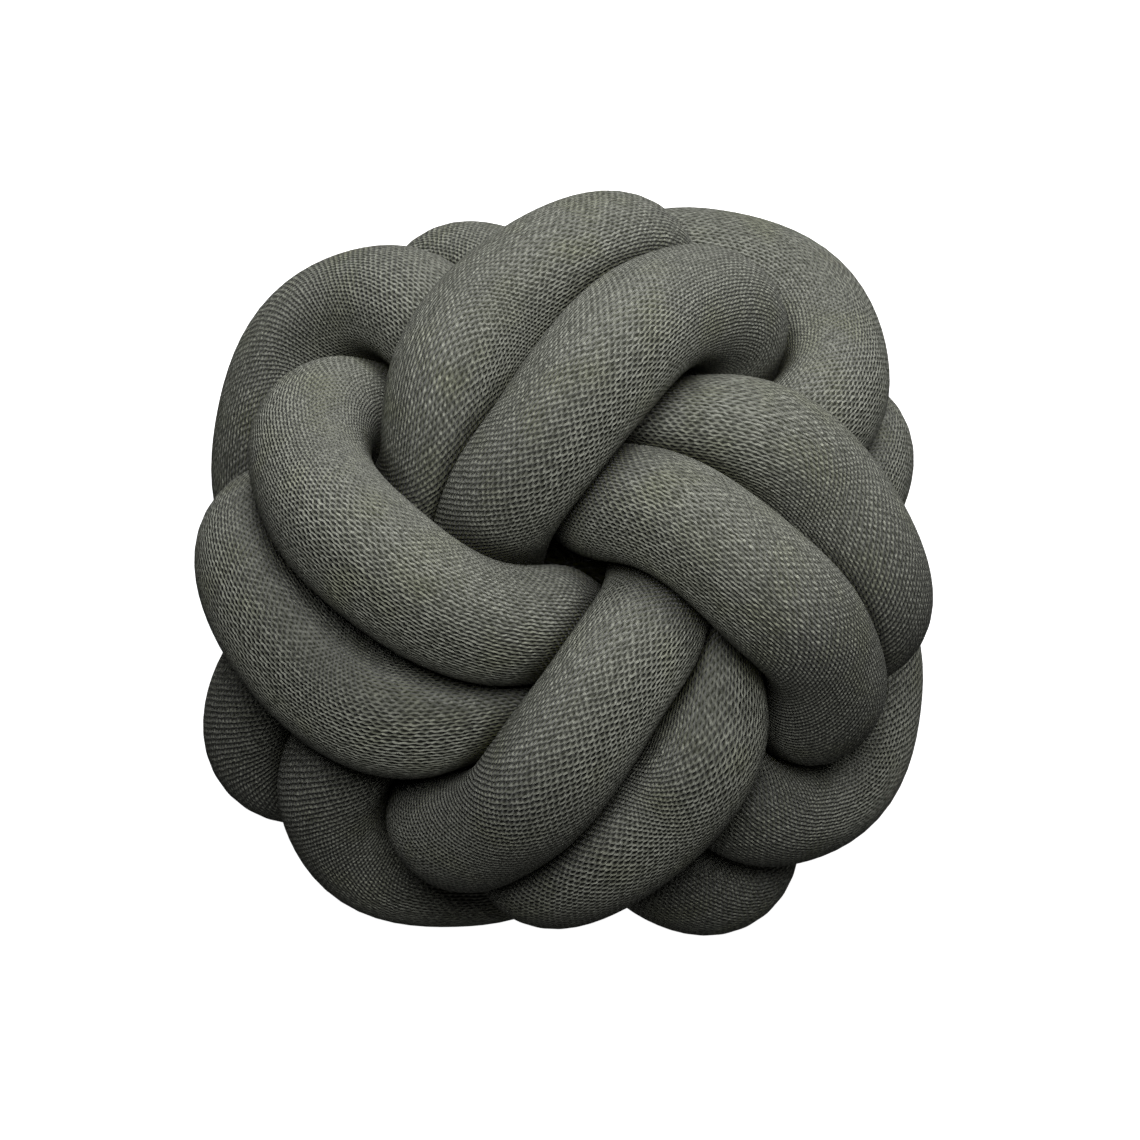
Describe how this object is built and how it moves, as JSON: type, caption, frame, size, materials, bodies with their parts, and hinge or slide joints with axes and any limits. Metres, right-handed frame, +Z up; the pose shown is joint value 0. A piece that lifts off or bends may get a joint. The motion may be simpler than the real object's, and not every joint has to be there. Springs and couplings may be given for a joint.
{
  "type": "knot cushion",
  "caption": "Ball-shaped cushion of a stuffed knitted tube, doubled and tied in a pinwheel knot, that rests on its flattened back.",
  "frame": {"origin": "centre of the bounding box's bottom, on the surface that the cushion rests on", "axes": "+Z up, out of the front of the knot; +X to the picture's right and +Y to its top"},
  "size_m": [0.3008, 0.304, 0.2394],
  "materials": {
    "knitted_cloth": "plain knit in a marled, dark olive-grey yarn"
  },
  "bodies": {
    "root": {"knotted_tube": "knitted_cloth"}
  },
  "joints": []
}
